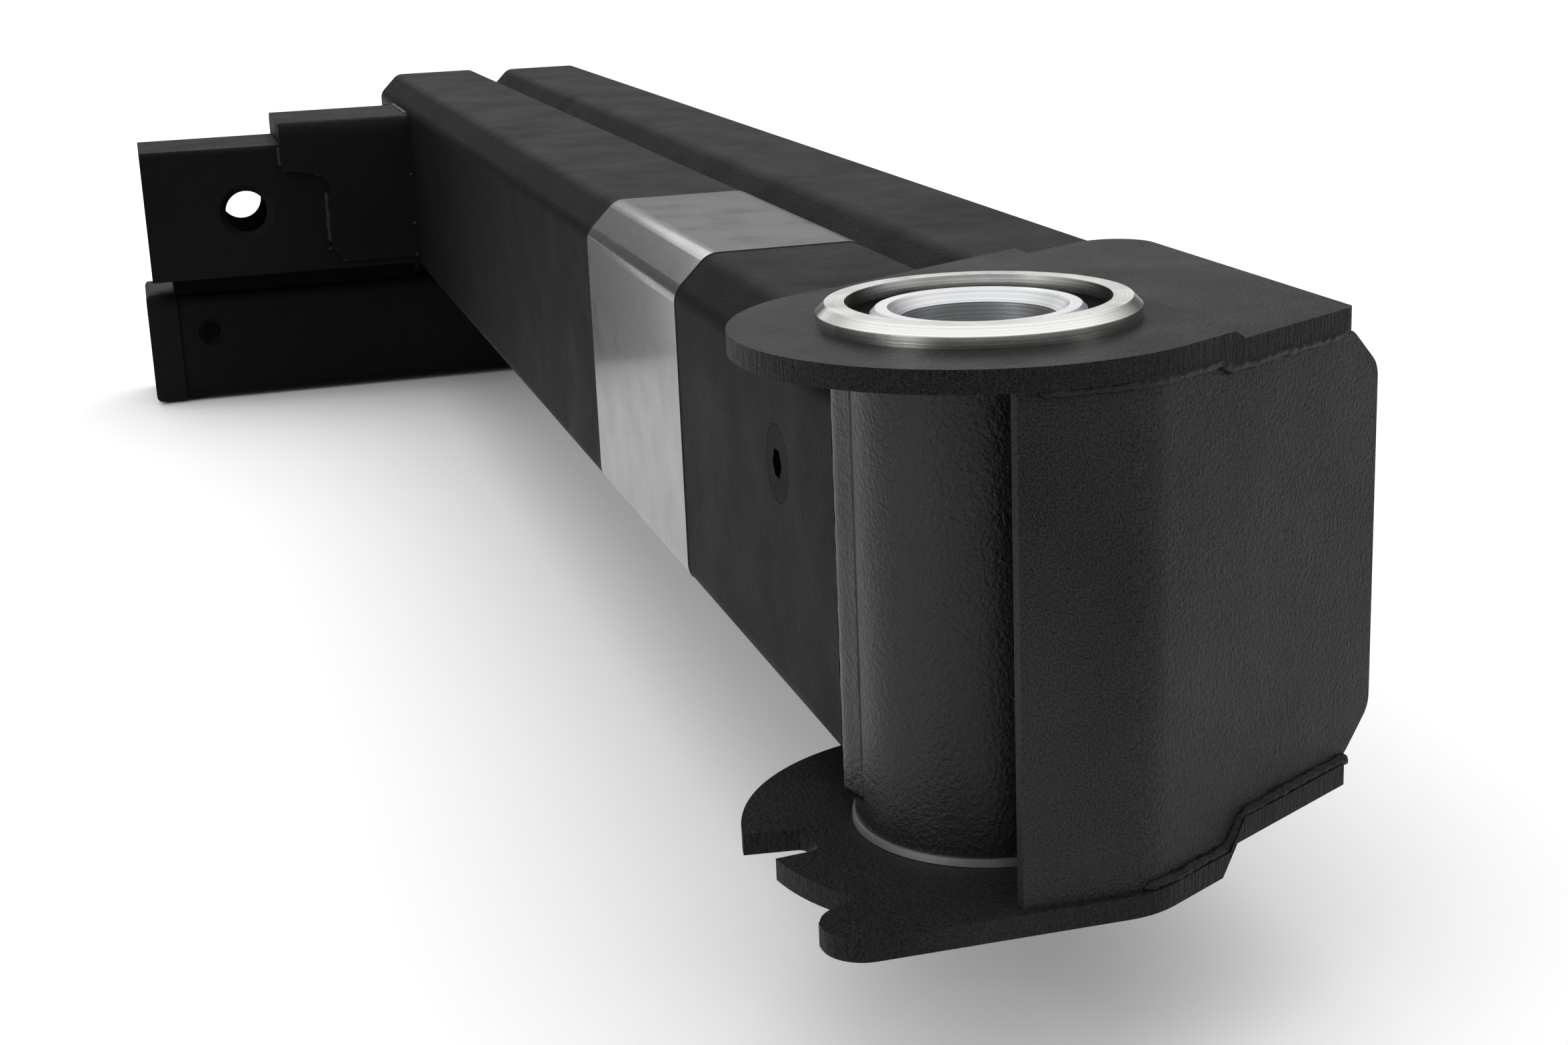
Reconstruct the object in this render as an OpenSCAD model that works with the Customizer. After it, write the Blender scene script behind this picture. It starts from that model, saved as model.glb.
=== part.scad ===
// Swing-away hitch extension: a fixed frame that slides into a vehicle's 2 inch
// hitch receiver, and a second arm that turns on a vertical spindle and carries
// a 2 inch receiver for a ski or bicycle rack.  Drawn closed.
//
// Millimetres.  Origin: the spindle's axis at half the height of the fixed arm.
// +X runs along both arms, away from the spindle.  +Y points to the rack side,
// -Y to the vehicle, +Z up.

/* [Arms] */
// Width of the swing arm's tube
arm_w = 56.4; // [50:0.1:60]
// Width of the fixed arm's tube
fixed_arm_w = 52.5; // [50:0.1:58]
// Height of both arm tubes
arm_h = 90; // [88:0.5:90]
// Wall of both arm tubes
arm_wall = 4; // [3:0.5:6]
// Leg of the 45 degree flat on each corner of an arm tube
arm_corner = 9; // [7:0.1:10.5]
// Radius that blends that flat into the sides
arm_blend = 6; // [4.5:0.1:7]
// Distance from the spindle to the far end of both arms
arm_reach = 806; // [790:1:900]
// Gap between the two arms when closed
arm_gap = 0.7; // [0.6:0.1:3]
// Height of the swing arm's centre over the fixed arm's centre
swing_lift = 0.8; // [0.8:0.1:0.9]

/* [Pivot] */
// Outer radius of the barrel
barrel_r = 26.7; // [26.6:0.1:27]
// Bore radius of the barrel
barrel_bore_r = 23.4; // [22:0.1:24]
// Outer radius of the hollow spindle
spindle_r = 20.8; // [20:0.1:21.2]
// Bore radius of the hollow spindle
spindle_bore_r = 15.2; // [12:0.1:17]
// Outer radius of the thrust washers
washer_r = 27.3; // [27:0.1:29]
// Thickness of the thrust washers
washer_t = 1.6; // [1.2:0.1:1.7]
// Inner radius of the collar on top
collar_bore_r = 25.6; // [24:0.1:27]
// Outer radius of the collar on top
collar_r = 31.2; // [29:0.1:34]
// Height of the collar over the top plate
collar_h = 4; // [3:0.1:6]
// Chamfer round the collar's outer edge
collar_chamfer = 1.75; // [1:0.05:2.5]

/* [Yoke plates] */
// Thickness of the top and bottom plate
plate_t = 4.5; // [4:0.25:5]
// Radius of the top plate round the spindle
lobe_r = 48.4; // [47.5:0.1:49]
// Radius of the detent sector on the bottom plate
sector_r = 50; // [49.9:0.1:50.1]
// Radius of the middle finger between the two detents
finger_r = 46.9; // [45:0.1:46.9]
// Radius of the end stop on the bottom plate
stop_r = 59.8; // [58:0.1:62]
// Angle of the end stop's face from the closed position
stop_angle = 128.4; // [128:0.1:129]
// Width of the bottom of the 90 degree notch
notch_w = 10.8; // [10:0.1:12]
// Distance from the spindle to the bottom of the notches
notch_floor = 37; // [36:0.5:38]
// How far the top plate steps down over the fixed arm
top_step = 1.8; // [1:0.1:3]
// How far the bottom plate steps up under the fixed arm
bottom_step = 5.6; // [5:0.1:7]
// Distance from the spindle to the step
step_y = 36.7; // [36:0.1:38]
// Distance from the spindle to the plates' straight edge over the fixed arm
plate_edge_y = 72; // [68:0.5:76]
// Angle of the yoke's mitred face to the arms' cross direction
mitre = 30; // [30:1:31]

/* [Wrap plate] */
// Thickness of the bent wrap plate
wrap_t = 3; // [2.5:0.5:4]
// Distance from the spindle to the wrap's flat front
wrap_front = 45.6; // [45:0.1:46.4]
// Distance from the spindle to the wrap's mitred face
wrap_face = 47.2; // [46.8:0.1:47.6]
// Free edge of the wrap on the rack side
wrap_edge_y = 10; // [8:0.5:12]

/* [Hitch shank] */
// Outside width of the square shank
shank_w = 50.8; // [50.8:0.1:50.8]
// Wall of the shank
shank_wall = 6; // [4:0.5:6.5]
// Distance from the spindle to the middle of the shank
shank_x = 743.7; // [735:0.1:750]
// Length of the shank on the rack side of the spindle plane
shank_rack_end = 155.5; // [150:0.5:160]
// Length of the shank on the vehicle side of the spindle plane
shank_vehicle_end = 290; // [270:5:298]
// Distance from the hitch pin hole to the vehicle end
pin_setback = 60; // [50:1:70]
// Radius of the hitch pin holes
pin_r = 8.15; // [8.1:0.05:8.5]
// Distance from the spindle plane to the end cap's rivet
rivet_y = 126.3; // [124:0.1:132]
// Radius of the rivet's countersink
rivet_sink_r = 6.8; // [5:0.1:8]

/* [Rack receiver] */
// Outside width of the square receiver
receiver_w = 60; // [60:0.5:60]
// Inside width of the receiver
socket_w = 52; // [51.5:0.1:52]
// Distance from the spindle to the middle of the receiver
receiver_x = 720.8; // [715:0.1:725]
// Height of the receiver's centre
receiver_z = -4.8; // [-5:0.1:-4.6]
// Distance from the spindle plane to the receiver's mouth
receiver_end = 151.5; // [148:0.5:160]
// Distance from the mouth to the rack pin hole
rack_pin_setback = 45.7; // [44:0.1:50]
// Radius of the rack pin holes
rack_pin_r = 9.5; // [8.1:0.1:9.8]
// Thickness of the saddle's cheeks
saddle_t = 4.5; // [4:0.1:5]
// Height of the saddle's top over the receiver
saddle_rise = 10; // [8:0.5:12]

/* [Detent pawl] */
// Travel of the pawl
pawl_travel = 3.4; // [3:0.1:3.4]
// Width of the pawl
pawl_w = 10.2; // [9:0.1:10.4]
// Radius of the release rod
rod_r = 4; // [3:0.5:4.5]
// Height of the release rod
rod_z = -30; // [-30:0.5:-28]

/* [Hidden] */

$fn = 96;

// Finishes
powder = "#2b2c2c";
textured_powder = "#232424";
steel = "#b9b8b2";
aluminium = "#cfd1d3";
bronze = "#a8824a";
zinc = "#8d8f90";
plastic = "#151616";
reflective = "#8f9090";

// Running clearance between turning faces, and the cut past a face
run = 0.05;
past = 1;

// Levels
swing_z = swing_lift;
swing_bottom = swing_z - arm_h / 2;
top_under = arm_h / 2 + top_step;
top_face = top_under + plate_t;
bottom_face = -arm_h / 2 - bottom_step;
bottom_under = bottom_face - plate_t;
barrel_top = top_under - 2 * run - washer_t;
barrel_bottom = bottom_face + 2 * run + washer_t;
fixed_arm_y = -arm_w / 2 - arm_gap - fixed_arm_w / 2;
spindle_top = top_face + collar_h - 1.45;
spindle_nut_h = 7;
spindle_bottom = bottom_under - spindle_nut_h;
spindle_chamfer = 2.25;
shank_top = -arm_h / 2;
shank_z = shank_top - shank_w / 2;
receiver_bottom = receiver_z - receiver_w / 2;

// The yoke: direction of its mitred face, flat front of the bottom plate and
// distance from the spindle to the plates' rear edge over the fixed arm
mitre_normal = [-cos(mitre), -sin(mitre)];
plate_front = 47.3;
plate_rear = 47;
wrap_bend_r = 19;

cap_flange = 2.5;
cap_plug = 16;
cap_sleeve = 1.3;
cap_sleeve_len = 14;
tube_corner = 6;
receiver_corner = 2.8;
rivet_r = 2.9;
rivet_z = shank_z + 6.6;

// Pawl mechanism
pawl_tip = sector_r + 0.6;
pawl_length = 40;
pawl_bottom = bottom_under + 0.1;
pawl_top = swing_bottom - 3.5;
upstand_x = [pawl_tip + 28, pawl_tip + 40];
upstand_w = 8;
keeper_t = 3.9;
keeper_x = [64.5, 93];
ring_r = 14;
ring_wire_r = 2;
ring_x = arm_reach + 38;
screw_x = 47.9;
screw_z = 14.5;
screw_head_r = 8.4;
screw_r = 4.7;

function unit(v) = v / norm(v);

// Where the line n.p = d crosses the line y = y0
function on_line(n, d, y0) = [(d - n[1] * y0) / n[0], y0];

// A convex polygon with a radius at each corner.  radii: one number or a list.
module rounded(points, radii) {
  count = len(points);
  function r_at(i) = is_list(radii) ? radii[i] : radii;
  function to_prev(i) = unit(points[(i + count - 1) % count] - points[i]);
  function to_next(i) = unit(points[(i + 1) % count] - points[i]);
  function half(i) = acos(to_prev(i) * to_next(i)) / 2;
  function run_out(i) = r_at(i) / tan(half(i));
  polygon([for (i = [0 : count - 1])
             for (side = [0, 1])
               points[i] + run_out(i) * (side == 0 ? to_prev(i) : to_next(i))]);
  for (i = [0 : count - 1])
    if (r_at(i) > 0)
      translate(points[i] + unit(to_prev(i) + to_next(i)) * r_at(i) / sin(half(i)))
        circle(r_at(i));
}

module rounded_box(w, h, r) {
  rounded([[-w, -h] / 2, [w, -h] / 2, [w, h] / 2, [-w, h] / 2], r);
}

// Cross-section of an arm tube, grown by grow on every side
module arm_section(grow = 0, width = arm_w) {
  w = width / 2 + grow;
  h = arm_h / 2 + grow;
  c = arm_corner + grow * (2 - sqrt(2));
  rounded([[w, -h + c], [w, h - c], [w - c, h], [-w + c, h],
           [-w, h - c], [-w, -h + c], [-w + c, -h], [w - c, -h]],
          max(arm_blend + grow, 1));
}

// Lay a drawing made in the cross-section plane along +X, from x0 for a length
module along_x(x0, length) {
  translate([x0, 0, 0]) rotate([90, 0, 90]) linear_extrude(length) children();
}

// Lay a drawing made in the X-Z plane along Y, from y0 up for a length
module along_y(y0, length) {
  translate([0, y0 + length, 0]) rotate([90, 0, 0]) linear_extrude(length) children();
}

module tube(r_out, r_in, z0, z1) {
  translate([0, 0, z0]) difference() {
    cylinder(r = r_out, h = z1 - z0);
    translate([0, 0, -past]) cylinder(r = r_in, h = z1 - z0 + 2 * past);
  }
}

// A cylinder along Y, from y0 to y1
module pin_y(r, x, z, y0, y1) {
  translate([x, y1, z]) rotate([90, 0, 0]) cylinder(r = r, h = y1 - y0);
}

// ---------------------------------------------------------------- fixed frame

// 2 inch square tube that runs under both arms: hitch pin end on the vehicle
// side, capped end under the rack receiver.
module hitch_shank() {
  y0 = -shank_vehicle_end;
  length = shank_rack_end - cap_flange - y0;
  x_near = shank_x - shank_w / 2;
  sink = rivet_sink_r - rivet_r;
  color(powder) difference() {
    along_y(y0, length) translate([shank_x, shank_z]) rounded_box(shank_w, shank_w, tube_corner);
    along_y(y0 - past, length + 2 * past)
      translate([shank_x, shank_z])
        rounded_box(shank_w - 2 * shank_wall, shank_w - 2 * shank_wall, 1.5);
    translate([x_near - past, y0 + pin_setback, shank_z])
      rotate([0, 90, 0]) cylinder(r = pin_r, h = shank_w + 2 * past);
    translate([x_near, rivet_y, rivet_z]) rotate([0, 90, 0]) {
      translate([0, 0, -past]) cylinder(r1 = rivet_sink_r + past, r2 = rivet_r, h = sink + past);
      cylinder(r = rivet_r, h = shank_wall + past);
    }
  }
}

// Moulded cap: a sleeve over the shank's rack-side end and a plug inside it
module shank_end_cap() {
  end = shank_rack_end;
  outer = shank_w + 2 * cap_sleeve;
  bore = shank_w - 2 * shank_wall;
  plug_y = rivet_y - 10;
  color(plastic) difference() {
    intersection() {
      along_y(end - cap_sleeve_len, cap_sleeve_len)
        translate([shank_x, shank_z]) rounded_box(outer, outer, tube_corner + cap_sleeve);
      along_x(shank_x - shank_w, 2 * shank_w) translate([end / 2, shank_z])
        rounded_box(end, outer, 4);
    }
    along_y(end - cap_sleeve_len - past, cap_sleeve_len - cap_flange + past)
      translate([shank_x, shank_z]) rounded_box(shank_w, shank_w, tube_corner);
    // trimmed on top, where the swing arm passes over it
    translate([shank_x - shank_w, 0, shank_top + 0.4]) cube([2 * shank_w, 200, 10]);
  }
  color(plastic) difference() {
    along_y(plug_y, end - cap_flange - plug_y)
      translate([shank_x, shank_z]) rounded_box(bore, bore, 1.5);
    along_y(plug_y - past, end - cap_flange - plug_y)
      translate([shank_x, shank_z]) rounded_box(bore - 6, bore - 6, 1.5);
    translate([shank_x - shank_w / 2, rivet_y, rivet_z])
      rotate([0, 90, 0]) cylinder(r = rivet_r, h = shank_w / 2);
  }
}

// Rivet through the shank's near wall into the cap's plug
module cap_rivet() {
  x_head = shank_x - shank_w / 2 + rivet_sink_r - rivet_r;
  color(steel) translate([x_head - 1.2, rivet_y, rivet_z]) rotate([0, 90, 0])
    cylinder(r = rivet_r, h = 9);
}

// Half-space in front of the yoke's mitred face, d from the spindle
module mitre_cut(d) {
  rotate([0, 0, 180 + mitre])
    translate([d, -300, -100]) cube([400, 600, 200]);
}

// Tube that carries the yoke, mitred to the wrap plate at the spindle end
module fixed_arm() {
  color(powder) difference() {
    translate([0, fixed_arm_y, 0]) difference() {
      along_x(-60, arm_reach + 60 - cap_flange) arm_section(0, fixed_arm_w);
      along_x(-60 - past, arm_reach + 60 - cap_flange + 2 * past)
        arm_section(-arm_wall, fixed_arm_w);
    }
    mitre_cut(wrap_face - wrap_t);
  }
}

// End plug of an arm: a flange over the wall and a hollow plug inside it
module arm_plug(width, hole_z, hole_r) {
  difference() {
    union() {
      along_x(arm_reach - cap_flange, cap_flange) arm_section(-0.4, width);
      along_x(arm_reach - cap_flange - cap_plug, cap_plug) arm_section(-arm_wall, width);
    }
    along_x(arm_reach - cap_flange - cap_plug - past, cap_plug + past)
      arm_section(-arm_wall - 2.5, width);
    if (hole_r > 0)
      translate([arm_reach - 10, 0, hole_z]) rotate([0, 90, 0]) cylinder(r = hole_r, h = 20);
  }
}

module fixed_arm_end_cap() {
  color(plastic) translate([0, fixed_arm_y, 0]) arm_plug(fixed_arm_w, 0, 0);
}

// Part of both yoke plates that runs at the mitre angle to the fixed arm; face is
// the distance from the spindle to its front edge
module plate_strip(face) {
  front = on_line(mitre_normal, face, -plate_edge_y);
  rear = on_line(mitre_normal, -plate_rear, -plate_edge_y);
  rounded([mitre_normal * face, front, rear, -mitre_normal * plate_rear], [0, 3, 10, 0]);
}

// A plate bent in two parallel creases: under it is z0 on the spindle's side
// and z0 + rise over the fixed arm
module stepped_plate(z0, rise, slope) {
  lead = abs(rise) * slope;
  shift = plate_t * (rise > 0 ? -0.45 : 0.45);
  y_in = -step_y;
  intersection() {
    translate([0, 0, -100]) linear_extrude(200) children();
    along_x(-100, 220)
      polygon([[90, z0], [y_in + shift + lead, z0], [y_in + shift, z0 + rise], [-110, z0 + rise],
               [-110, z0 + rise + plate_t], [y_in - lead, z0 + rise + plate_t],
               [y_in, z0 + plate_t], [90, z0 + plate_t]]);
  }
}

module spindle_hole() {
  translate([0, 0, -100]) cylinder(r = spindle_r, h = 200);
}

module yoke_top_plate() {
  color(textured_powder) difference() {
    stepped_plate(top_under, -top_step, 1.6) {
      circle(lobe_r);
      plate_strip(lobe_r);
    }
    spindle_hole();
  }
}

// The end stop's block at the opening side
module stop_block() {
  tip = stop_r * [cos(stop_angle), sin(stop_angle)];
  rounded([[0, 0], tip, [-plate_front, tip[1]], [-plate_front, -6]], [0, 1, 8, 0]);
}

// Detent notch that opens outwards at an angle from the closed position
module notch(angle, floor_w) {
  mouth = floor_w + 4;
  rotate(angle)
    rounded([[notch_floor, floor_w / 2], [notch_floor, -floor_w / 2],
             [stop_r, -mouth / 2 - 1], [stop_r, mouth / 2 + 1]], [2, 2, 0, 0]);
}

// The relief that turns the rim between the notch and the stop into a finger
module finger_relief() {
  from = 97;
  difference() {
    polygon([[0, 0], for (a = [from, stop_angle]) 90 * [cos(a), sin(a)]]);
    circle(finger_r);
  }
}

module bottom_outline() {
  intersection() {
    union() {
      circle(sector_r);
      // the strip, kept clear of the pawl's way round the sector
      difference() {
        plate_strip(sector_r + 2);
        translate([0, -pawl_w / 2 - 1.5]) square([200, 200]);
      }
    }
    wrap_plan(wrap_front - plate_front);
  }
}

module yoke_bottom_plate() {
  z0 = bottom_face - plate_t;
  color(textured_powder) difference() {
    union() {
      difference() {
        stepped_plate(z0, bottom_step, 0.75) bottom_outline();
        translate([0, 0, z0 - past]) linear_extrude(plate_t + 2 * past) {
          finger_relief();
          notch(90, notch_w);
          notch(0, pawl_w + 2.4);
        }
      }
      translate([0, 0, z0]) linear_extrude(plate_t) stop_block();
    }
    spindle_hole();
  }
}

// The wrap's plan, filled in behind the outer face; inset by the thickness for
// the inner face
module wrap_plan(inset) {
  front = wrap_front - inset;
  bend = [-front, (wrap_face - inset - cos(mitre) * front) / -sin(mitre)];
  far = on_line(mitre_normal, wrap_face - inset, -140);
  rounded([[120, 60], [-front, 60], bend, far, [120, -140]], [0, 0, wrap_bend_r - inset, 0, 0]);
}

// Bent web between the plates that closes the yoke and the fixed arm's mitre
module yoke_wrap_plate() {
  color(textured_powder) intersection() {
    translate([0, 0, -100]) linear_extrude(200) difference() {
      wrap_plan(0);
      wrap_plan(wrap_t);
      translate([-100, wrap_edge_y]) square([200, 200]);
    }
    along_x(-70, 100) intersection() {
      yoke_gap();
      union() {
        translate([fixed_arm_y, -100]) square([200, 200]);
        translate([fixed_arm_y, 0]) arm_section(0, fixed_arm_w);
      }
    }
  }
}

// The space between the two stepped plates, seen along the arms
module yoke_gap() {
  top_lead = top_step * 1.6;
  bottom_lead = bottom_step * 0.75;
  top_y = -step_y + plate_t * 0.45;
  bottom_y = -step_y;
  polygon([[90, bottom_face], [bottom_y, bottom_face], [bottom_y - bottom_lead, -arm_h / 2],
           [-130, -arm_h / 2], [-130, arm_h / 2], [top_y, arm_h / 2],
           [top_y + top_lead, top_under], [90, top_under]]);
}

// Hollow axle, turned, with a chamfered mouth
module spindle() {
  bevel = 1;
  color(aluminium) difference() {
    union() {
      translate([0, 0, spindle_bottom])
        cylinder(r = spindle_r, h = spindle_top - bevel - spindle_bottom);
      translate([0, 0, spindle_top - bevel])
        cylinder(r1 = spindle_r, r2 = spindle_r - bevel, h = bevel);
    }
    translate([0, 0, spindle_bottom - past])
      cylinder(r = spindle_bore_r, h = spindle_top - spindle_bottom + 2 * past);
    translate([0, 0, spindle_top - spindle_chamfer])
      cylinder(r1 = spindle_bore_r, r2 = spindle_bore_r + spindle_chamfer + 0.01,
               h = spindle_chamfer + 0.01);
  }
}

// Ring on the top plate round the spindle's head
module spindle_collar() {
  c = collar_chamfer;
  color(steel) translate([0, 0, top_face]) rotate_extrude()
    polygon([[collar_bore_r, 0], [collar_r, 0], [collar_r, collar_h - c],
             [collar_r - c, collar_h], [collar_bore_r, collar_h]]);
}

// Round nut with four spanner slots that holds the spindle from below
module spindle_nut() {
  nut_r = 29;
  color(zinc) difference() {
    tube(nut_r, spindle_r, spindle_bottom, bottom_under);
    for (a = [45 : 90 : 315])
      rotate(a) translate([nut_r - 3, -3, spindle_bottom - past]) cube([10, 6, spindle_nut_h - 1]);
  }
}

// Rubber ring in the groove between the spindle's head and the collar
module spindle_dust_seal() {
  color(plastic) tube(collar_bore_r, spindle_r, top_face, top_face + 1.2);
}

// ------------------------------------------------------------------- swing arm

module pivot_barrel() {
  color(textured_powder) tube(barrel_r, barrel_bore_r, barrel_bottom, barrel_top);
}

module bushing(z0, z1) {
  color(bronze) tube(barrel_bore_r, spindle_r + run, z0, z1);
}

module upper_bushing() {
  bushing(barrel_top - 24, barrel_top);
}

module lower_bushing() {
  bushing(barrel_bottom, barrel_bottom + 24);
}

module upper_thrust_washer() {
  color(zinc) tube(washer_r, spindle_r + run, barrel_top, barrel_top + washer_t);
}

module lower_thrust_washer() {
  color(zinc) tube(washer_r, spindle_r + run, barrel_bottom - washer_t, barrel_bottom);
}

// Tube that swings; its near end is notched round the barrel
module swing_arm() {
  start = 6.6;
  color(powder) difference() {
    translate([0, 0, swing_z]) difference() {
      along_x(start, arm_reach - cap_flange - start) arm_section();
      along_x(start - past, arm_reach - cap_flange - start + 2 * past) arm_section(-arm_wall);
    }
    translate([0, 0, -100]) cylinder(r = barrel_r, h = 200);
    translate([0, 0, barrel_top - 0.2]) cylinder(r = washer_r + 0.3, h = 20);
    // slot for the pawl's upstand
    translate([upstand_x[0] - pawl_travel - 0.5, -upstand_w / 2 - 0.5, swing_bottom - past])
      cube([upstand_x[1] - upstand_x[0] + pawl_travel + 1, upstand_w + 1, arm_wall + 2 * past]);
    // seat of the spring anchor's screw
    pin_y(screw_r + 0.2, screw_x, screw_z, 0, arm_w);
    pin_y(screw_head_r + 0.15, screw_x, screw_z, arm_w / 2 - 1.6, arm_w);
  }
}

// Reflective film over the top and the rack side
module reflective_band() {
  film = 0.25;
  color(reflective) translate([0, 0, swing_z]) along_x(138.5, 111.5)
    intersection() {
      difference() {
        arm_section(film);
        arm_section();
      }
      union() {
        translate([-20.6, 0]) square([60, 60]);
        translate([10, -arm_h / 2 + 8]) square([40, 60]);
      }
    }
}

module swing_arm_end_cap() {
  color(plastic) translate([0, 0, swing_z]) arm_plug(arm_w, rod_z - swing_z, rod_r + 0.3);
}

// Square socket for a 2 inch rack stinger, welded to the swing arm's side
module rack_receiver() {
  y0 = arm_w / 2;
  length = receiver_end - y0;
  sink = 3;
  color(powder) difference() {
    along_y(y0, length)
      translate([receiver_x, receiver_z]) rounded_box(receiver_w, receiver_w, receiver_corner);
    along_y(y0 - past, length + 2 * past)
      translate([receiver_x, receiver_z]) rounded_box(socket_w, socket_w, 1);
    translate([receiver_x, receiver_end - rack_pin_setback, receiver_z]) rotate([0, 90, 0]) {
      cylinder(r = rack_pin_r, h = receiver_w + 2 * past, center = true);
      for (side = [0, 180]) rotate([side, 0, 0]) translate([0, 0, receiver_w / 2 - sink])
        cylinder(r1 = rack_pin_r, r2 = rack_pin_r + sink + past, h = sink + past);
    }
  }
}

// One stepped cheek of the saddle, drawn in the Y-Z plane
module saddle_cheek() {
  y0 = arm_w / 2;
  top = receiver_z + receiver_w / 2 + saddle_rise;
  polygon([[y0, top], [88.3, top], [88.3, 13.7], [72.4, 11], [67.8, 6.8], [68.5, -25],
           [62, -30.7], [y0, -30.7]]);
}

// Folded bracket over the receiver: two cheeks and a top
module receiver_saddle() {
  half = receiver_w / 2;
  outer = half + saddle_t;
  fold = 7;
  color(textured_powder) intersection() {
    along_x(receiver_x - outer, 2 * outer) saddle_cheek();
    along_y(0, 200) translate([receiver_x, receiver_z]) difference() {
      rounded([[-outer, -60], [outer, -60], [outer, half + saddle_rise],
               [-outer, half + saddle_rise]], [0, 0, fold, fold]);
      translate([-half, -past - 60]) square([receiver_w, 60 + past + half]);
    }
  }
}

// Pad under the receiver that rides just over the shank
module receiver_rest_pad() {
  base = shank_top + 0.7;
  color(plastic) translate([receiver_x - 7, arm_w / 2, base])
    cube([34, 114, receiver_bottom - base]);
}

// U-shaped strap under the swing arm that the pawl slides in
module pawl_keeper() {
  inner = pawl_w / 2 + 0.3;
  outer = inner + keeper_t;
  bottom = pawl_bottom - 0.4;
  color(zinc) translate([keeper_x[0], 0, 0]) {
    for (side = [-1, 1])
      translate([0, side > 0 ? inner : -outer, bottom - 3])
        cube([keeper_x[1] - keeper_x[0], keeper_t, swing_bottom - bottom + 3]);
    translate([0, -inner, bottom - 3]) cube([keeper_x[1] - keeper_x[0], 2 * inner, 3]);
  }
}

// Plate inside the arm that holds the pawl's spring
module spring_anchor() {
  y_wall = arm_w / 2 - arm_wall;
  base = rod_z - 2.4;
  color(zinc) difference() {
    union() {
      translate([screw_x - 10, y_wall - 5, base]) cube([20, 5, screw_z + 12 - base]);
      translate([screw_x + 5, -6, base]) cube([5, y_wall + 1, rod_z + 8 - base]);
    }
    pin_y(screw_r, screw_x, screw_z, y_wall - 10, y_wall + past);
  }
}

// Flat-headed socket screw in the arm's rack side
module anchor_screw() {
  face = arm_w / 2;
  color(zinc) difference() {
    union() {
      pin_y(screw_head_r, screw_x, screw_z, face - 1.6, face);
      pin_y(screw_r, screw_x, screw_z, face - arm_wall - 14, face - 1.6);
    }
    translate([screw_x, face + past, screw_z]) rotate([90, 0, 0])
      cylinder(r = 3.5, h = 4 + past, $fn = 6);
  }
}

module anchor_nut() {
  y_wall = arm_w / 2 - arm_wall - 5;
  color(zinc) difference() {
    translate([screw_x, y_wall, screw_z]) rotate([90, 0, 0]) cylinder(r = 9.8, h = 8, $fn = 6);
    pin_y(screw_r, screw_x, screw_z, y_wall - 10, y_wall + past);
  }
}

// ------------------------------------------------------------------------ pawl

// Flat bolt under the arm with an upstand that reaches up into it
module pawl() {
  end = pawl_tip + pawl_length;
  color(zinc) difference() {
    union() {
      translate([0, 0, pawl_bottom]) linear_extrude(pawl_top - pawl_bottom)
        rounded([[pawl_tip, -pawl_w / 2], [end, -pawl_w / 2], [end, pawl_w / 2],
                 [pawl_tip, pawl_w / 2]], [2, 1, 1, 2]);
      translate([upstand_x[0], -upstand_w / 2, pawl_top])
        cube([upstand_x[1] - upstand_x[0], upstand_w, rod_z + 8 - pawl_top]);
    }
    translate([upstand_x[0] + 3, 0, rod_z]) rotate([0, 90, 0]) cylinder(r = rod_r, h = 20);
  }
}

// Extension spring between its anchor and the pawl, as its outer envelope
module pawl_spring() {
  x0 = screw_x + 10;
  x1 = upstand_x[0] - pawl_travel - 0.3;
  color(steel) translate([x0, 0, rod_z]) rotate([0, 90, 0]) difference() {
    cylinder(r = 5, h = x1 - x0);
    translate([0, 0, -past]) cylinder(r = 3.6, h = x1 - x0 + 2 * past);
  }
}

// Rod through the arm that pulls the pawl out of its notch
module release_rod() {
  x0 = upstand_x[0] + 3;
  eye_r = 7;
  color(zinc) difference() {
    union() {
      translate([x0, 0, rod_z]) rotate([0, 90, 0]) cylinder(r = rod_r, h = ring_x - 5 - x0);
      pin_y(eye_r, ring_x, rod_z, -3, 3);
    }
    pin_y(ring_wire_r + 0.6, ring_x, rod_z, -10, 10);
  }
}

// Pull ring that hangs from the rod's eye
module release_ring() {
  color(steel) translate([ring_x, 0, rod_z - ring_r]) rotate([0, 90, 0])
    rotate_extrude() translate([ring_r, 0]) circle(ring_wire_r, $fn = 32);
}

hitch_shank();
shank_end_cap();
cap_rivet();
fixed_arm();
fixed_arm_end_cap();
yoke_top_plate();
yoke_bottom_plate();
yoke_wrap_plate();
spindle();
spindle_collar();
spindle_nut();
spindle_dust_seal();
pivot_barrel();
upper_bushing();
lower_bushing();
upper_thrust_washer();
lower_thrust_washer();
swing_arm();
reflective_band();
swing_arm_end_cap();
rack_receiver();
receiver_saddle();
receiver_rest_pad();
pawl_keeper();
spring_anchor();
anchor_screw();
anchor_nut();
pawl();
pawl_spring();
release_rod();
release_ring();
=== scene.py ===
"""Looks for the swing-away hitch extension: materials, weld beads, floor, lights and camera."""

import math

import bpy
from mathutils import Matrix, Vector, noise


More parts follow.
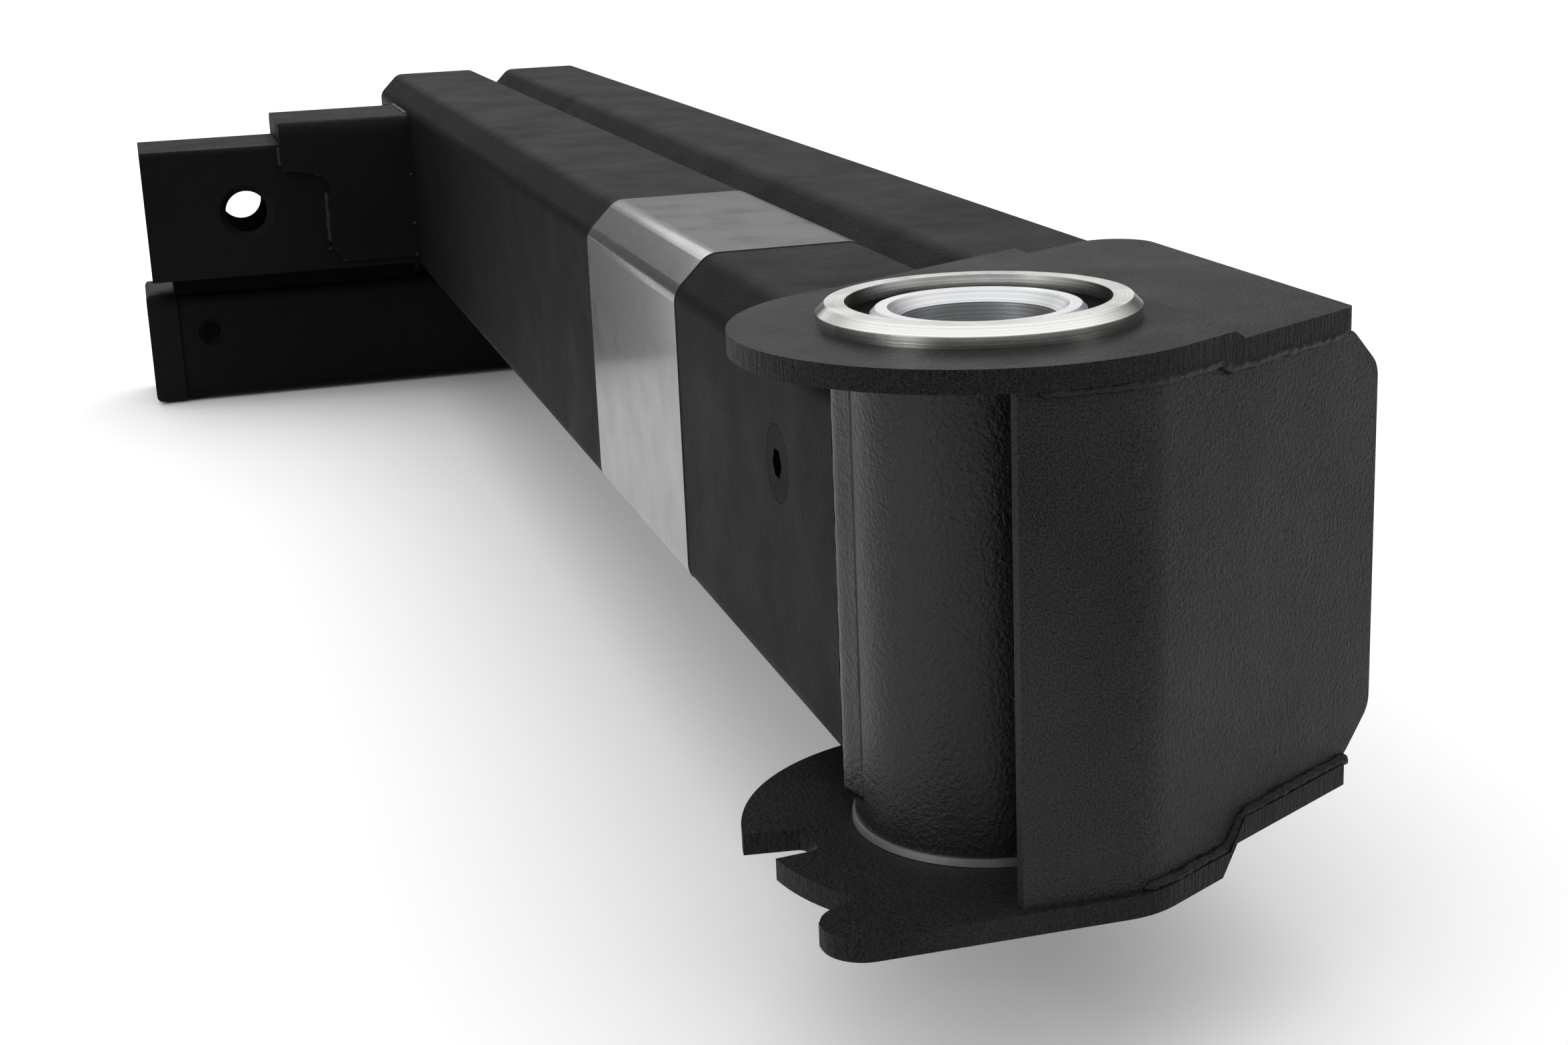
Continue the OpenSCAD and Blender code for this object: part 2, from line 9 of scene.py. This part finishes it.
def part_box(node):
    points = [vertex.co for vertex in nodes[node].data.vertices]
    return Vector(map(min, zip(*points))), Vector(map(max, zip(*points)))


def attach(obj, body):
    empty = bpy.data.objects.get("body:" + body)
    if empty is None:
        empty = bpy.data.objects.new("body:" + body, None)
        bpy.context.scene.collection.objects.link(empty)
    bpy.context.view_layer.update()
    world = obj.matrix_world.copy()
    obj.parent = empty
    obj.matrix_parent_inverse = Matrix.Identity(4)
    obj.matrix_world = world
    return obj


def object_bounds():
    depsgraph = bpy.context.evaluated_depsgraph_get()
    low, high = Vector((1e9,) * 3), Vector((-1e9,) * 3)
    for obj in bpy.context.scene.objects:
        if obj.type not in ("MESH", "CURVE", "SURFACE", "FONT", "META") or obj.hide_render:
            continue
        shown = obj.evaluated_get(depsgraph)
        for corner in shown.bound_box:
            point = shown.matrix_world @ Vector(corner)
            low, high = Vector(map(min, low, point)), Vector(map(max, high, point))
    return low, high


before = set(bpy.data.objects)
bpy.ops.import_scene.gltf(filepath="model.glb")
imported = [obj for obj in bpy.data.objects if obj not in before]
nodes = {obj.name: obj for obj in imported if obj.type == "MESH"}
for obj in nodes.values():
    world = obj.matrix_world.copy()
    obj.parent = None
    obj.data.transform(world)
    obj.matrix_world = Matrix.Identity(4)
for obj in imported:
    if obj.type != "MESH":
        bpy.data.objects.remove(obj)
cad_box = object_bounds()
MM = 0.001


# ---------------------------------------------------------------- camera and stage

# in millimetres and degrees
CAMERA_PLACE = Vector((-410.19, 150.69, 132.93))
CAMERA_YAW, CAMERA_PITCH, CAMERA_ROLL = (math.radians(a) for a in (15.085, 15.497, -2.389))
SENSOR_WIDTH, LENS = 36, 53.0097


def make_camera():
    """Looks along the arms from beyond the spindle, slightly down."""
    yaw, pitch, roll = CAMERA_YAW, CAMERA_PITCH, CAMERA_ROLL
    ahead = Vector((math.cos(yaw), -math.sin(yaw), 0))
    level = Vector((-math.sin(yaw), -math.cos(yaw), 0))
    upright = Vector((0, 0, 1))
    forward = math.cos(pitch) * ahead - math.sin(pitch) * upright
    up = math.sin(pitch) * ahead + math.cos(pitch) * upright
    right = math.cos(roll) * level + math.sin(roll) * up
    top = -math.sin(roll) * level + math.cos(roll) * up
    place = Matrix((right, top, -forward)).transposed().to_4x4()
    place.translation = CAMERA_PLACE * MM
    data = bpy.data.cameras.new("camera")
    data.sensor_width = SENSOR_WIDTH
    data.lens = LENS
    data.clip_start, data.clip_end = 0.02, 20
    cam = bpy.data.objects.new("camera", data)
    cam.matrix_world = place
    bpy.context.scene.collection.objects.link(cam)
    bpy.context.scene.camera = cam


def area_light(name, at, to, size, power):
    """A white rectangular lamp at one point, turned towards another (in metres)."""
    data = bpy.data.lights.new(name, "AREA")
    data.shape = "RECTANGLE"
    data.size, data.size_y = size
    data.energy = power
    light = bpy.data.objects.new(name, data)
    light.location = at
    light.rotation_mode = "QUATERNION"
    light.rotation_quaternion = (Vector(to) - Vector(at)).to_track_quat("-Z", "Y")
    bpy.context.scene.collection.objects.link(light)


def make_floor():
    """A large pale floor just under the part."""
    size, gap, pale = 40, 0.0005, 0.93
    lowest = cad_box[0].z
    bpy.ops.mesh.primitive_plane_add(size=size, location=(0.4, 0, lowest - gap))
    floor = bpy.context.object
    floor.name = "floor"
    material = bpy.data.materials.new("floor")
    material.use_nodes = True
    shader = material.node_tree.nodes["Principled BSDF"]
    shader.inputs["Base Color"].default_value = (pale, pale, pale, 1)
    shader.inputs["Roughness"].default_value = 0.95
    shader.inputs["Specular IOR Level"].default_value = 0.05
    floor.data.materials.append(material)


def make_studio():
    """A white studio that is bright overhead and dimmer towards its walls."""
    wall_light, ceiling_light = 0.1, 1.5
    wall_height, ceiling_height = 0.25, 0.7
    world = bpy.data.worlds.new("studio")
    world.use_nodes = True
    tree = world.node_tree
    height = tree.nodes.new("ShaderNodeSeparateXYZ")
    tree.links.new(tree.nodes.new("ShaderNodeTexCoord").outputs["Generated"], height.inputs[0])
    level = tree.nodes.new("ShaderNodeMapRange")
    level.inputs["From Min"].default_value = wall_height
    level.inputs["From Max"].default_value = ceiling_height
    level.inputs["To Min"].default_value = wall_light
    level.inputs["To Max"].default_value = ceiling_light
    tree.links.new(height.outputs["Z"], level.inputs["Value"])
    tree.links.new(level.outputs["Result"], tree.nodes["Background"].inputs["Strength"])
    tree.nodes["Background"].inputs["Color"].default_value = (1, 1, 1, 1)
    bpy.context.scene.world = world
    bpy.context.scene.view_settings.view_transform = "Standard"


make_camera()
make_floor()
make_studio()
area_light("behind", at=(1.9, -0.3, 0.75), to=(0.4, 0, 0), size=(1.6, 0.5), power=5)
area_light("key", at=(-0.9, -1.5, 0.5), to=(0, -0.05, 0), size=(0.7, 1.0), power=3)
area_light("rack_side", at=(-0.5, 1.5, 0.45), to=(0.2, 0, 0), size=(0.6, 1.0), power=7)


# ---------------------------------------------------------------- materials

# the range in which nearly all of a noise texture lies
NOISE_LOW, NOISE_HIGH = 0.3, 0.7


class Shader:
    """A material under construction, with short calls for the nodes it needs."""

    def __init__(self, name):
        self.material = bpy.data.materials.new(name)
        self.material.use_nodes = True
        self.tree = self.material.node_tree
        self.bsdf = self.tree.nodes["Principled BSDF"]
        self.coord = self.tree.nodes.new("ShaderNodeTexCoord").outputs["Object"]

    def set(self, **values):
        """Gives the main shader's sockets fixed values."""
        for name, value in values.items():
            self.bsdf.inputs[name.replace("_", " ")].default_value = value

    def link(self, source, socket):
        """Leads source into a socket of the main shader."""
        self.tree.links.new(source, self.bsdf.inputs[socket])

    def node(self, kind, **inputs):
        """A new node whose inputs are either linked or given a fixed value."""
        made = self.tree.nodes.new(kind)
        for name, value in inputs.items():
            socket = made.inputs[name.replace("_", " ")]
            if isinstance(value, bpy.types.NodeSocket):
                self.tree.links.new(value, socket)
            else:
                socket.default_value = value
        return made

    def noise(self, size_mm, detail=2.0, roughness=0.5, coord=None):
        """Noise between 0 and 1 with features of that size."""
        made = self.node("ShaderNodeTexNoise", Vector=coord or self.coord, Scale=1000 / size_mm,
                         Detail=detail, Roughness=roughness)
        return made.outputs["Fac"]

    def cells(self, size_mm):
        """Distance to the nearest of many scattered points."""
        made = self.node("ShaderNodeTexVoronoi", Vector=self.coord, Scale=1000 / size_mm)
        return made.outputs["Distance"]

    def ramp(self, source, stops):
        """Maps source through grey or coloured stops [(position, colour)]."""
        made = self.node("ShaderNodeValToRGB", Fac=source)
        ramp = made.color_ramp
        while len(ramp.elements) < len(stops):
            ramp.elements.new(0.5)
        for element, (at, colour) in zip(ramp.elements, stops):
            element.position = at
            element.color = (*colour, 1) if isinstance(colour, tuple) else (colour,) * 3 + (1,)
        return made.outputs["Color"]

    def span(self, source, low, high, from_low=NOISE_LOW, from_high=NOISE_HIGH):
        """Stretches from_low..from_high of the source onto low..high."""
        made = self.node("ShaderNodeMapRange", Value=source, From_Min=from_low, From_Max=from_high,
                         To_Min=low, To_Max=high)
        return made.outputs["Result"]

    def math(self, operation, a, b=0.0):
        """One arithmetic step on sources or numbers."""
        made = self.tree.nodes.new("ShaderNodeMath")
        made.operation = operation
        for socket, value in zip(made.inputs, (a, b)):
            if isinstance(value, bpy.types.NodeSocket):
                self.tree.links.new(value, socket)
            else:
                socket.default_value = value
        return made.outputs[0]

    def bump(self, height, distance_mm, normal=None):
        """A normal roughened by height, on top of an earlier normal if there is one."""
        made = self.node("ShaderNodeBump", Height=height, Distance=distance_mm * MM, Strength=1.0)
        if normal is not None:
            self.tree.links.new(normal, made.inputs["Normal"])
        return made.outputs["Normal"]

    def scaled(self, factors):
        """The part's own coordinates, stretched by a factor along each axis."""
        made = self.node("ShaderNodeVectorMath", Vector=self.coord)
        made.operation = "MULTIPLY"
        made.inputs[1].default_value = factors
        return made.outputs["Vector"]

    def radius(self):
        """Distance from the spindle's axis."""
        made = self.node("ShaderNodeVectorMath", Vector=self.scaled((1, 1, 0)))
        made.operation = "LENGTH"
        return made.outputs["Value"]

    def height_of(self, vector):
        """The Z of a vector."""
        return self.node("ShaderNodeSeparateXYZ", Vector=vector).outputs["Z"]


def powder_coat(name, grain_mm, depth_mm, dark, light, rough, gloss, fleck=0.0, cut_edge=0.0):
    """Black powder coat: fine grain between a dark and a light grey, and orange-peel bumps.

    fleck is how metallic the sparks in the grain are. cut_edge is the depth in millimetres of
    the upright drag lines of a laser cut, drawn on the faces that stand upright.
    """
    s = Shader(name)
    s.set(Metallic=0.0, Specular_IOR_Level=gloss)
    patches = s.noise(size_mm=60, detail=4)
    grain = s.noise(grain_mm, detail=3, roughness=0.6)
    shade = s.math("ADD", s.math("MULTIPLY", patches, 0.3), s.math("MULTIPLY", grain, 0.7))
    s.link(s.ramp(shade, [(0.35, dark), (0.65, light)]), "Base Color")
    wear = s.noise(size_mm=25, detail=5, roughness=0.65)
    s.link(s.span(wear, rough - 0.05, rough + 0.07), "Roughness")
    peel = s.bump(s.noise(grain_mm * 2.2, detail=1), depth_mm)
    normal = s.bump(grain, depth_mm * 0.6, normal=peel)
    if fleck:
        s.link(s.span(s.cells(grain_mm * 0.9), fleck, 0.0, from_low=0.0, from_high=0.22), "Metallic")
    if cut_edge:
        facing = s.tree.nodes.new("ShaderNodeNewGeometry").outputs["Normal"]
        level = s.math("ABSOLUTE", s.height_of(facing))
        upright = s.span(level, 1.0, 0.0, from_low=0.1, from_high=0.5)
        lines = s.noise(size_mm=0.8, detail=2, coord=s.scaled((1, 1, 0.12)))
        normal = s.bump(s.math("MULTIPLY", lines, upright), cut_edge, normal=normal)
    s.link(normal, "Normal")
    return s.material


def turned_metal(name, colour, rough, ridge_mm, depth_mm):
    """Metal with the fine rings that a lathe leaves round the spindle's axis."""
    s = Shader(name)
    s.set(Metallic=1.0)
    turned = s.node("ShaderNodeCombineXYZ", X=s.radius(), Y=s.height_of(s.coord)).outputs["Vector"]
    rings = s.noise(ridge_mm, detail=3, roughness=0.7, coord=turned)
    s.link(s.bump(rings, depth_mm), "Normal")
    dim = tuple(0.7 * c for c in colour)
    s.link(s.ramp(rings, [(0.35, dim), (0.62, colour)]), "Base Color")
    smudge = s.noise(size_mm=9, detail=4)
    s.link(s.span(smudge, rough - 0.04, rough + 0.08), "Roughness")
    return s.material


def plated(name, colour, rough):
    """A dull, slightly mottled metal, such as zinc plate or cast bronze."""
    s = Shader(name)
    s.set(Metallic=1.0)
    mottle = s.noise(size_mm=5, detail=4, roughness=0.6)
    dim = tuple(0.72 * c for c in colour)
    s.link(s.ramp(mottle, [(0.3, dim), (0.7, colour)]), "Base Color")
    s.link(s.span(mottle, rough + 0.08, rough - 0.06), "Roughness")
    s.link(s.bump(s.noise(size_mm=0.5), distance_mm=0.02), "Normal")
    return s.material


def moulded(name, colour, rough, gloss=0.06):
    """Moulded plastic or rubber."""
    s = Shader(name)
    s.set(Specular_IOR_Level=gloss)
    cloudy = s.noise(size_mm=20, detail=4)
    lighter = tuple(1.5 * c for c in colour)
    s.link(s.ramp(cloudy, [(0.3, colour), (0.7, lighter)]), "Base Color")
    s.link(s.span(cloudy, rough - 0.05, rough + 0.05), "Roughness")
    s.link(s.bump(s.noise(size_mm=0.4), distance_mm=0.03), "Normal")
    return s.material


def reflective_film(name):
    """Grey retroreflective film: a honeycomb of dark lines under a clear, glossy face."""
    cell_mm, line_grey, film_grey = 2.2, 0.03, 0.045
    s = Shader(name)
    s.set(Metallic=0.0, Coat_Weight=0.6, Coat_Roughness=0.1)
    cell = s.node("ShaderNodeTexVoronoi", Vector=s.coord, Scale=1000 / cell_mm)
    cell.feature = "DISTANCE_TO_EDGE"
    s.link(s.ramp(cell.outputs["Distance"], [(0.0, line_grey), (0.12, film_grey)]), "Base Color")
    s.link(s.span(s.noise(size_mm=14, detail=3), 0.24, 0.36), "Roughness")
    s.link(s.bump(s.noise(size_mm=3), distance_mm=0.01), "Normal")
    return s.material


ARM = powder_coat("arm_powder", grain_mm=0.5, depth_mm=0.12, dark=0.003, light=0.007,
                  rough=0.56, gloss=0.04)
BARREL = powder_coat("barrel_powder", grain_mm=0.45, depth_mm=0.2, dark=0.001, light=0.01,
                     rough=0.32, gloss=0.26)
PLATE = powder_coat("plate_powder", grain_mm=0.4, depth_mm=0.25, dark=0.001, light=0.02,
                    rough=0.46, gloss=0.06, fleck=0.3, cut_edge=0.5)
WRAP = powder_coat("wrap_powder", grain_mm=0.4, depth_mm=0.28, dark=0.0, light=0.03,
                   rough=0.4, gloss=0.1, fleck=0.5)
WELD = powder_coat("weld_powder", grain_mm=0.6, depth_mm=0.3, dark=0.002, light=0.01,
                   rough=0.4, gloss=0.15)
BLACK_SCREW = powder_coat("black_oxide", grain_mm=0.3, depth_mm=0.03, dark=0.0015, light=0.003,
                          rough=0.5, gloss=0.02)
STEEL = turned_metal("turned_steel", (0.68, 0.67, 0.64), rough=0.22, ridge_mm=0.35, depth_mm=0.02)
ALUMINIUM = turned_metal("turned_aluminium", (0.6, 0.61, 0.62), rough=0.38, ridge_mm=0.4,
                         depth_mm=0.05)
BRONZE = plated("bronze", (0.42, 0.28, 0.13), rough=0.4)
ZINC = plated("zinc", (0.45, 0.46, 0.47), rough=0.35)
WASHER = plated("thrust_washer", (0.5, 0.51, 0.52), rough=0.5)
PLASTIC = moulded("black_plastic", (0.004, 0.004, 0.0045), rough=0.5)
RUBBER = moulded("rubber", (0.002, 0.002, 0.002), rough=0.8, gloss=0.02)
FILM = reflective_film("reflective_film")

FINISH = {
    "hitch_shank": ARM, "fixed_arm": ARM, "swing_arm": ARM, "rack_receiver": ARM,
    "pivot_barrel": BARREL, "receiver_saddle": ARM,
    "yoke_top_plate": PLATE, "yoke_bottom_plate": PLATE, "yoke_wrap_plate": WRAP,
    "spindle_collar": STEEL, "pawl_spring": STEEL, "release_ring": STEEL, "spindle": ALUMINIUM,
    "cap_rivet": BLACK_SCREW, "anchor_screw": BLACK_SCREW,
    "upper_bushing": BRONZE, "lower_bushing": BRONZE,
    "upper_thrust_washer": WASHER, "lower_thrust_washer": WASHER,
    "shank_end_cap": PLASTIC, "receiver_rest_pad": RUBBER, "fixed_arm_end_cap": PLASTIC,
    "swing_arm_end_cap": PLASTIC, "spindle_dust_seal": RUBBER, "reflective_band": FILM,
}

# every node without a finish of its own is a zinc-plated fitting
for name, obj in nodes.items():
    obj.data.materials.clear()
    obj.data.materials.append(FINISH.get(name, ZINC))


# ---------------------------------------------------------------- welds (in millimetres)

def corners(node):
    """A node's lowest and highest corners at rest."""
    return [Vector(corner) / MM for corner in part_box(node)]


arm_low, arm_high = corners("swing_arm")
barrel_high = corners("pivot_barrel")[1]
wrap_low, wrap_high = corners("yoke_wrap_plate")
bottom_high = corners("yoke_bottom_plate")[1]
top_low = corners("yoke_top_plate")[0]
receiver_low, receiver_high = corners("rack_receiver")
saddle_low, saddle_high = corners("receiver_saddle")


def make_piece(name, body, finish, verts, faces, smooth):
    """Puts a mesh drawn in millimetres into the scene, riding on a body."""
    mesh = bpy.data.meshes.new(name)
    mesh.from_pydata([v * MM for v in verts], [], faces)
    mesh.polygons.foreach_set("use_smooth", smooth)
    mesh.update()
    mesh.materials.append(finish)
    piece = bpy.data.objects.new(name, mesh)
    bpy.context.scene.collection.objects.link(piece)
    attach(piece, body)


def tube_faces(rows, around):
    """Faces of a closed tube with that many rings, and its two end caps."""
    faces = []
    for row in range(rows - 1):
        for k in range(around):
            a, b = row * around + k, row * around + (k + 1) % around
            faces.append((a, b, b + around, a + around))
    faces.append(tuple(range(around))[::-1])
    faces.append(tuple(range((rows - 1) * around, rows * around)))
    return faces


def bead(name, body, path, radius, lumps=0.16):
    """A weld bead: a tube of overlapping ripples along a path, rounded off at both ends."""
    step, around = 0.65, 12
    ripple_length, ripple_height = 2.6, 0.07
    end_size, end_growth = 0.35, 0.3
    spine = [Vector(p) for p in path]
    rings = []
    for a, b in zip(spine, spine[1:]):
        steps = max(1, round((b - a).length / step))
        rings += [a.lerp(b, i / steps) for i in range(steps)]
    rings.append(spine[-1])
    last = len(rings) - 1
    verts = []
    run = 0.0
    for i, at in enumerate(rings):
        along = (rings[min(i + 1, last)] - rings[max(i - 1, 0)]).normalized()
        upright = abs(along.z) > 0.9
        side = (along.orthogonal() if upright else along.cross((0, 0, 1))).normalized()
        rise = side.cross(along)
        run += (at - rings[i - 1]).length if i else 0.0
        end = min(1.0, end_size + min(i, last - i) * end_growth)
        wave = 1 + ripple_height * (abs(math.sin(math.pi * run / ripple_length)) - 0.5)
        for k in range(around):
            turn = 2 * math.pi * k / around
            out = math.cos(turn) * side + math.sin(turn) * rise
            lump = lumps * noise.noise(at * 0.45 + out * 0.8)
            verts.append(at + out * radius * (wave + lump) * end)
    faces = tube_faces(len(rings), around)
    make_piece(name, body, WELD, verts, faces, [True] * len(faces))


def fillet(name, body, outline, z0, z1, side):
    """A smooth upright weld: an outline in plan that wanders a little on its way up.

    side is 1 for the outline as drawn and -1 for its mirror image across y = 0.
    """
    row_height, wander_size = 1.2, 0.18
    rows = round((z1 - z0) / row_height) + 1
    verts = []
    for row in range(rows):
        z = z0 + (z1 - z0) * row / (rows - 1)
        for x, y in outline:
            wander = wander_size * noise.noise(Vector((x * 0.3, y * 0.3, z * 0.4)))
            verts.append(Vector((x + wander, side * (y + wander * 0.5), z)))
    faces = [face[::side] for face in tube_faces(rows, len(outline))]
    make_piece(name, body, BARREL, verts, faces, [len(f) == 4 for f in faces])


# the wrap plate's facet lies WRAP_FACET from the spindle's axis and turns away by WRAP_MITRE;
# a bend joins it to the plate's front at WRAP_BEND_Y
WRAP_FACET, WRAP_MITRE = 47.2, math.radians(30)
WRAP_BEND_Y, WRAP_BEND_HALF, WRAP_BEND_BULGE = -15.4, 5.0, 0.9


def wrap_face_x(y, out):
    """X of the wrap plate's outer face at y, moved outwards."""
    front = wrap_low.x - out
    facet = -(WRAP_FACET + out + y * math.sin(WRAP_MITRE)) / math.cos(WRAP_MITRE)
    mix = min(1.0, max(0.0, (WRAP_BEND_Y + WRAP_BEND_HALF - y) / (2 * WRAP_BEND_HALF)))
    return (1 - mix) * front + mix * facet + WRAP_BEND_BULGE * math.sin(math.pi * mix)


def bottom_plate_top(y):
    """Height of the bottom plate's upper face at y: it steps up under the fixed arm."""
    step_y, step_run = -36.7, 4.2
    rise = bottom_high.z - wrap_low.z
    return wrap_low.z + rise * min(1.0, max(0.0, (step_y - y) / step_run))


def top_plate_under(y):
    """Height just under the top plate's lower face at y: it steps down over the fixed arm."""
    step_y = -36
    return wrap_high.z - 0.6 if y > step_y else top_low.z - 0.4


# where the swing arm's tube meets the barrel: the weld's outline in plan, from the arm's corner
JOINT = [(-0.2, -3.3), (0.3, -1.7), (-0.1, -0.1), (-1.0, 0.15), (-2.3, 0.05), (-3.6, -0.25),
         (-5.0, -0.65), (-6.5, -1.1), (-7.9, -1.35), (-8.6, -1.65), (-8.2, -2.3), (-4.6, -2.6)]
joint = [(arm_low.x + x, arm_high.y + y) for x, y in JOINT]
joint_foot, joint_head = arm_low.z + 0.8, barrel_high.z - 0.4
fillet("barrel_weld_rack", "swing_frame", joint, joint_foot, joint_head, 1)
fillet("barrel_weld_fixed", "swing_frame", joint, joint_foot, joint_head, -1)

# where the wrap plate meets the bottom plate and the top plate
WRAP_BEAD, WRAP_BEAD_OUT = 1.3, 0.1
foot = [(wrap_face_x(y, WRAP_BEAD_OUT), y, bottom_plate_top(y) + 0.2) for y in range(-14, -76, -2)]
head = [(wrap_face_x(y, WRAP_BEAD_OUT), y, top_plate_under(y)) for y in range(6, -70, -3)]
bead("wrap_foot_weld", "fixed_frame", foot, WRAP_BEAD, lumps=0.3)
bead("wrap_head_weld", "fixed_frame", head, WRAP_BEAD, lumps=0.3)


def tack(name, x, y, z, radius):
    """A short upright dot of weld on the saddle."""
    bead(name, "swing_frame", [(x, y, z - 1), (x, y, z + 1)], radius)


# where the saddle's two cheeks meet the receiver's sides (a bead along each straight edge, a
# tack at each corner of their stepped outline) and the swing arm (three tacks each)
STEP_CORNERS = ((86.5, 13.4), (71.5, 10.6), (68.6, -24.5), (62.5, -30.2))
ARM_TACK_HEIGHTS = (8, -15, -30)
CHEEKS = (("near", saddle_low.x, receiver_low.x - 0.2), ("far", saddle_high.x, receiver_high.x + 0.2))
cheek_end = saddle_high.y + 0.1
for tag, cheek_x, root_x in CHEEKS:
    bead(f"saddle_side_weld_{tag}", "swing_frame", [(root_x, 68.4, 3), (root_x, 68.6, -22)], 1.9)
    bead(f"saddle_end_weld_{tag}", "swing_frame", [(root_x, cheek_end, 24), (root_x, cheek_end, 15)], 1.8)
    for i, z in enumerate(ARM_TACK_HEIGHTS):
        tack(f"saddle_arm_dot_{tag}_{i}", cheek_x, arm_high.y + 0.8, z, 2.0)
    for i, (y, z) in enumerate(STEP_CORNERS):
        tack(f"saddle_dot_{tag}_{i}", root_x, y, z, 2.9)

# along the saddle's upper edge on the swing arm, and the blob where that bead was ended
edge_y, edge_z = arm_high.y + 0.2, saddle_high.z - 0.6
bead("saddle_top_weld", "swing_frame",
     [(saddle_low.x + 7.7, edge_y, edge_z), (saddle_high.x - 7.3, edge_y, edge_z)], 1.4)
blob_x, blob_y, blob_z = saddle_high.x - 0.3, arm_high.y + 1.8, saddle_high.z - 2.2
bead("saddle_rear_blob", "swing_frame", [(blob_x, blob_y, blob_z), (blob_x, blob_y + 3, blob_z)], 3.0)


# ---------------------------------------------------------------- update the view layer

bpy.context.view_layer.update()
